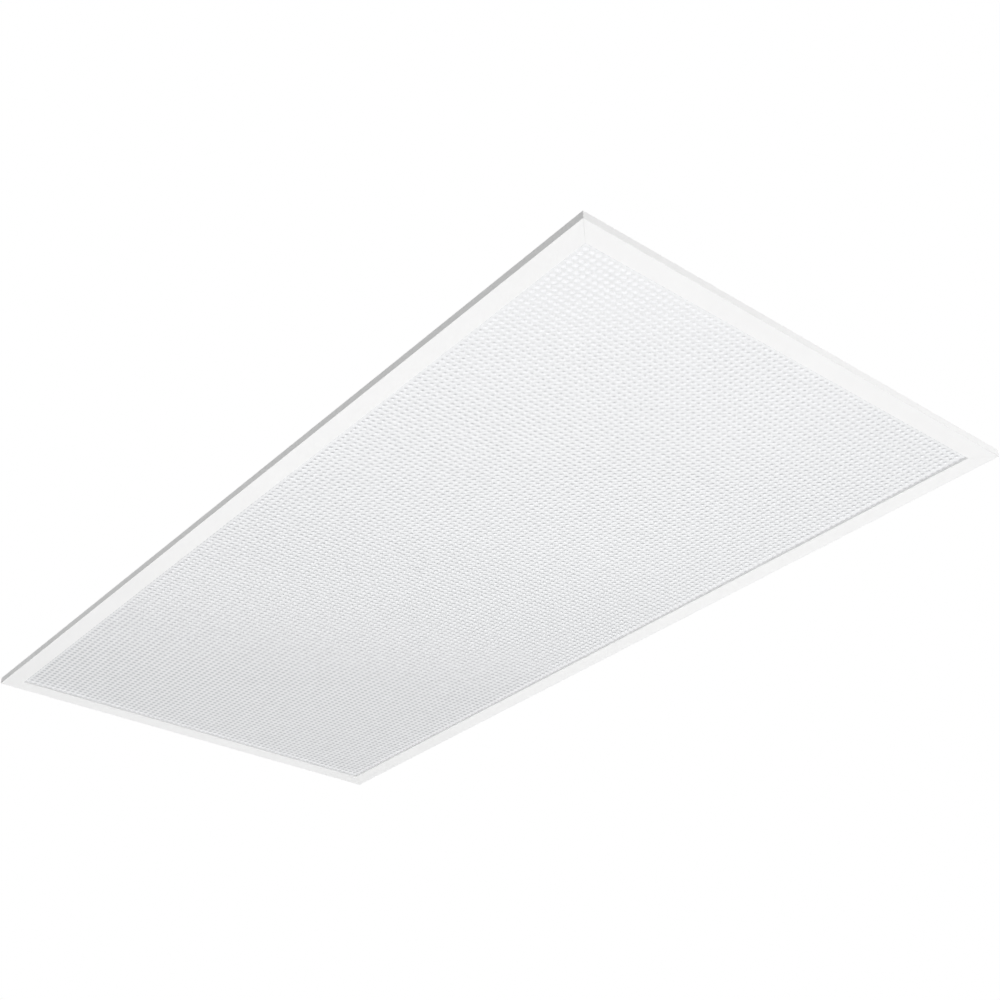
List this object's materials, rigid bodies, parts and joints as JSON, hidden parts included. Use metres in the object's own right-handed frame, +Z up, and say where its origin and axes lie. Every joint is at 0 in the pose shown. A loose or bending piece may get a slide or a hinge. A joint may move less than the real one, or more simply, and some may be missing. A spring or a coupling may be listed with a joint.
{
  "type": "recessed troffer light",
  "caption": "Flat recessed troffer light: white mitred frame, dimpled lens, shallow back pan with swing-out grid clips and a hinged driver box.",
  "frame": {"origin": "middle of the white frame's lower face, which is also the bottom of the whole light", "axes": "+X along the length, +Y across the width, +Z up into the ceiling void; the lens faces down, -Z"},
  "size_m": [1.195, 0.595, 0.0733],
  "materials": {
    "white_powder_coat": "satin white powder coat on extruded aluminium",
    "white_painted_steel": "semi-matt white paint on pressed steel",
    "prismatic_acrylic": "clear-white acrylic, lower face moulded in small round dimples",
    "opal_film": "matt opal film",
    "white_foam": "closed-cell white foam",
    "zinc_plate": "bright zinc-coated steel",
    "screw_zinc": "zinc-plated screws",
    "rivet_steel": "plain steel rivets",
    "reflector_white": "matt white reflector sheet",
    "circuit_white": "white solder mask on an aluminium board",
    "phosphor_yellow": "yellow phosphor in a white package",
    "clear_optic": "clear moulded acrylic",
    "lead_white": "PVC insulation",
    "lead_black": "PVC insulation",
    "lead_green": "PVC insulation",
    "lead_violet": "PVC insulation",
    "lead_pink": "PVC insulation",
    "lead_red": "PVC insulation",
    "black_rubber": "black nylon-like rubber",
    "driver_steel": "plain satin can",
    "circuit_green": "green solder mask",
    "terminal_grey": "grey moulded nylon",
    "spring_steel": "bright spring strip",
    "lever_orange": "orange moulded nylon",
    "lever_green": "green moulded nylon",
    "tinned_copper": "tinned copper",
    "screw_green": "green-dyed screw",
    "switch_black": "black moulded plastic",
    "slider_white": "white moulded plastic",
    "ribbon_grey": "grey flat lead"
  },
  "bodies": {
    "housing": {"frame_rail_front": "white_powder_coat", "frame_rail_right": "white_powder_coat", "frame_rail_rear": "white_powder_coat", "frame_rail_left": "white_powder_coat", "corner_keys": "zinc_plate", "prismatic_lens": "prismatic_acrylic", "diffuser_sheet": "opal_film", "lens_gasket": "white_foam", "back_pan": "white_painted_steel", "pan_screws": "screw_zinc", "reflector_sheet": "reflector_white", "led_strip_1": "circuit_white", "led_strip_2": "circuit_white", "led_strip_3": "circuit_white", "led_chips": "phosphor_yellow", "led_optics": "clear_optic", "strip_link_wires": "lead_white", "wire_bushing": "black_rubber", "driver_box": "white_painted_steel", "knockout_plate_left": "white_painted_steel", "knockout_plate_right": "white_painted_steel", "knockout_discs": "white_painted_steel", "cover_hinge_pin": "zinc_plate", "driver_case": "driver_steel", "driver_base": "driver_steel", "driver_circuit": "circuit_green", "driver_screws": "screw_zinc", "terminal_block": "terminal_grey", "terminal_springs": "spring_steel", "earth_wire": "lead_green", "line_wire": "lead_black", "neutral_wire": "lead_white", "dim_plus_wire": "lead_violet", "dim_minus_wire": "lead_pink", "output_wires": "lead_red", "earth_lug": "tinned_copper", "earth_screw": "screw_green", "selector_switches": "switch_black", "selector_board": "circuit_green", "selector_posts": "zinc_plate", "selector_ribbon": "ribbon_grey", "clip_rivets": "rivet_steel", "hanger_brackets": "zinc_plate"},
    "box_cover": {"driver_box_cover": "white_painted_steel", "cover_screw": "screw_zinc"},
    "earth_lever": {"lever_earth": "lever_green"},
    "line_lever": {"lever_line": "lever_orange"},
    "neutral_lever": {"lever_neutral": "lever_orange"},
    "dim_plus_lever": {"lever_dim_plus": "lever_orange"},
    "dim_minus_lever": {"lever_dim_minus": "lever_orange"},
    "colour_slider": {"colour_selector": "slider_white"},
    "output_slider": {"output_selector": "slider_white"},
    "clip_left_front": {"grid_clip_left_front": "zinc_plate"},
    "clip_left_rear": {"grid_clip_left_rear": "zinc_plate"},
    "clip_right_front": {"grid_clip_right_front": "zinc_plate"},
    "clip_right_rear": {"grid_clip_right_rear": "zinc_plate"}
  },
  "joints": [
    {"name": "cover_hinge", "type": "hinge", "parent": "housing", "child": "box_cover", "pos_m": [0, 0.06658, 0.06772], "axis": [-1, 0, 0], "range_deg": [0, 110]},
    {"name": "earth_lever_hinge", "type": "hinge", "parent": "housing", "child": "earth_lever", "pos_m": [-0.1035, -0.0124, 0.0463], "axis": [0, 1, 0], "range_deg": [0, 90]},
    {"name": "line_lever_hinge", "type": "hinge", "parent": "housing", "child": "line_lever", "pos_m": [-0.1035, -0.0062, 0.0463], "axis": [0, 1, 0], "range_deg": [0, 90]},
    {"name": "neutral_lever_hinge", "type": "hinge", "parent": "housing", "child": "neutral_lever", "pos_m": [-0.1035, 0, 0.0463], "axis": [0, 1, 0], "range_deg": [0, 90]},
    {"name": "dim_plus_lever_hinge", "type": "hinge", "parent": "housing", "child": "dim_plus_lever", "pos_m": [-0.1035, 0.0062, 0.0463], "axis": [0, 1, 0], "range_deg": [0, 90]},
    {"name": "dim_minus_lever_hinge", "type": "hinge", "parent": "housing", "child": "dim_minus_lever", "pos_m": [-0.1035, 0.0124, 0.0463], "axis": [0, 1, 0], "range_deg": [0, 90]},
    {"name": "colour_slide", "type": "slide", "parent": "housing", "child": "colour_slider", "axis": [1, 0, 0], "range_m": [-0.0025, 0.0025]},
    {"name": "output_slide", "type": "slide", "parent": "housing", "child": "output_slider", "axis": [1, 0, 0], "range_m": [-0.0025, 0.0025]},
    {"name": "clip_left_front_pivot", "type": "hinge", "parent": "housing", "child": "clip_left_front", "pos_m": [-0.45, -0.2315, 0.0388], "axis": [0, 0, -1], "range_deg": [0, 90]},
    {"name": "clip_left_rear_pivot", "type": "hinge", "parent": "housing", "child": "clip_left_rear", "pos_m": [-0.45, 0.2315, 0.0388], "axis": [0, 0, 1], "range_deg": [0, 90]},
    {"name": "clip_right_front_pivot", "type": "hinge", "parent": "housing", "child": "clip_right_front", "pos_m": [0.45, -0.2315, 0.0388], "axis": [0, 0, 1], "range_deg": [0, 90]},
    {"name": "clip_right_rear_pivot", "type": "hinge", "parent": "housing", "child": "clip_right_rear", "pos_m": [0.45, 0.2315, 0.0388], "axis": [0, 0, -1], "range_deg": [0, 90]}
  ]
}
